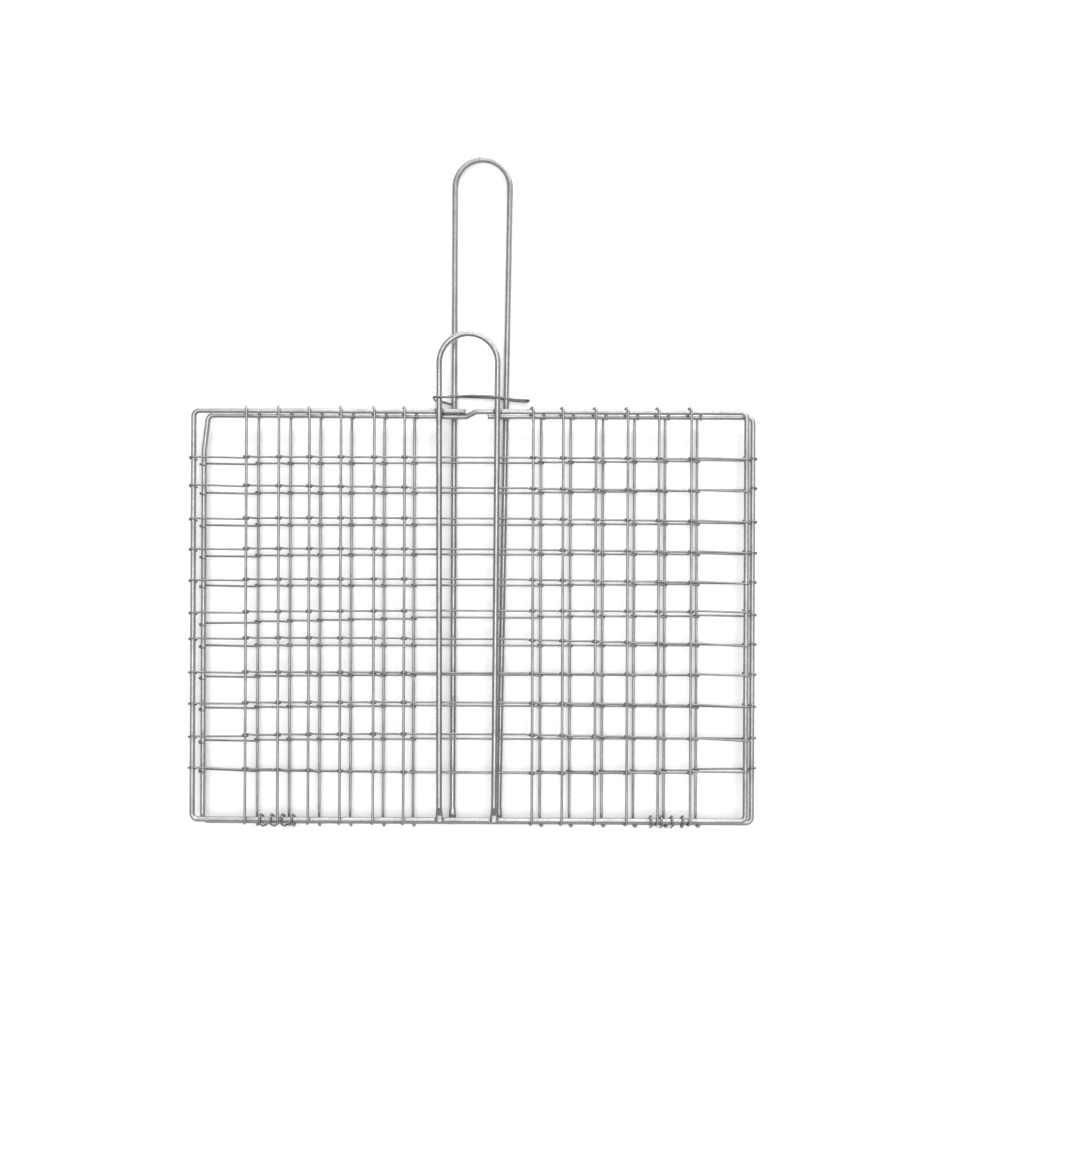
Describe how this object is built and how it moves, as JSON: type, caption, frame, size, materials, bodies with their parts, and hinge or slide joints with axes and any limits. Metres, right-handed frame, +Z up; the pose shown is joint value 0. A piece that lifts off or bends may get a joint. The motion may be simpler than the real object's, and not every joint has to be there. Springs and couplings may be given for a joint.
{
  "type": "grill basket",
  "caption": "Flat hinged grill basket of galvanised wire: two rectangular grids with long and short hairpin handles, hinge coils and a sliding lock ring.",
  "frame": {"origin": "on the surface that the closed basket lies on, under the centre of its bounding box", "axes": "+X across the grids, +Y towards the end of the long handle, +Z up from the back grid to the front grid"},
  "size_m": [0.4106, 0.4884, 0.0218],
  "materials": {
    "rim_wire": "galvanised rim wire, satin",
    "handle_wire": "galvanised handle wire, satin",
    "stay_wire": "bright galvanised wire",
    "row_wire": "bright galvanised wire",
    "tie_wire": "plain galvanised tie wire, duller"
  },
  "bodies": {
    "back_frame": {"back_rim": "rim_wire", "back_handle": "handle_wire", "back_stay_1": "stay_wire", "back_stay_2": "stay_wire", "back_stay_3": "stay_wire", "back_stay_4": "stay_wire", "back_stay_5": "stay_wire", "back_stay_6": "stay_wire", "back_stay_7": "stay_wire", "back_stay_8": "stay_wire", "back_stay_9": "stay_wire", "back_stay_10": "stay_wire", "back_stay_11": "stay_wire", "back_stay_12": "stay_wire", "back_row_1": "row_wire", "back_row_2": "row_wire", "back_row_3": "row_wire", "back_row_4": "row_wire", "back_row_5": "row_wire", "back_row_6": "row_wire", "back_row_7": "row_wire", "back_row_8": "row_wire", "back_row_9": "row_wire", "back_row_10": "row_wire", "back_row_11": "row_wire", "left_hinge_coil": "tie_wire", "right_hinge_coil": "tie_wire"},
    "front_frame": {"front_rim": "rim_wire", "front_handle": "handle_wire", "front_stay_1": "stay_wire", "front_stay_2": "stay_wire", "front_stay_3": "stay_wire", "front_stay_4": "stay_wire", "front_stay_5": "stay_wire", "front_stay_6": "stay_wire", "front_stay_7": "stay_wire", "front_stay_8": "stay_wire", "front_stay_9": "stay_wire", "front_stay_10": "stay_wire", "front_stay_11": "stay_wire", "front_stay_12": "stay_wire", "front_row_1": "row_wire", "front_row_2": "row_wire", "front_row_3": "row_wire", "front_row_4": "row_wire", "front_row_5": "row_wire", "front_row_6": "row_wire", "front_row_7": "row_wire", "front_row_8": "row_wire", "front_row_9": "row_wire", "front_row_10": "row_wire", "front_row_11": "row_wire"},
    "lock_ring": {"lock_ring": "tie_wire"}
  },
  "joints": [
    {"name": "grid_hinge", "type": "hinge", "parent": "back_frame", "child": "front_frame", "pos_m": [0, -0.23723, 0.0139], "axis": [1, 0, 0], "range_deg": [0, 180]},
    {"name": "ring_slide", "type": "slide", "parent": "back_frame", "child": "lock_ring", "axis": [0, 1, 0], "range_m": [0, 0.15]}
  ]
}
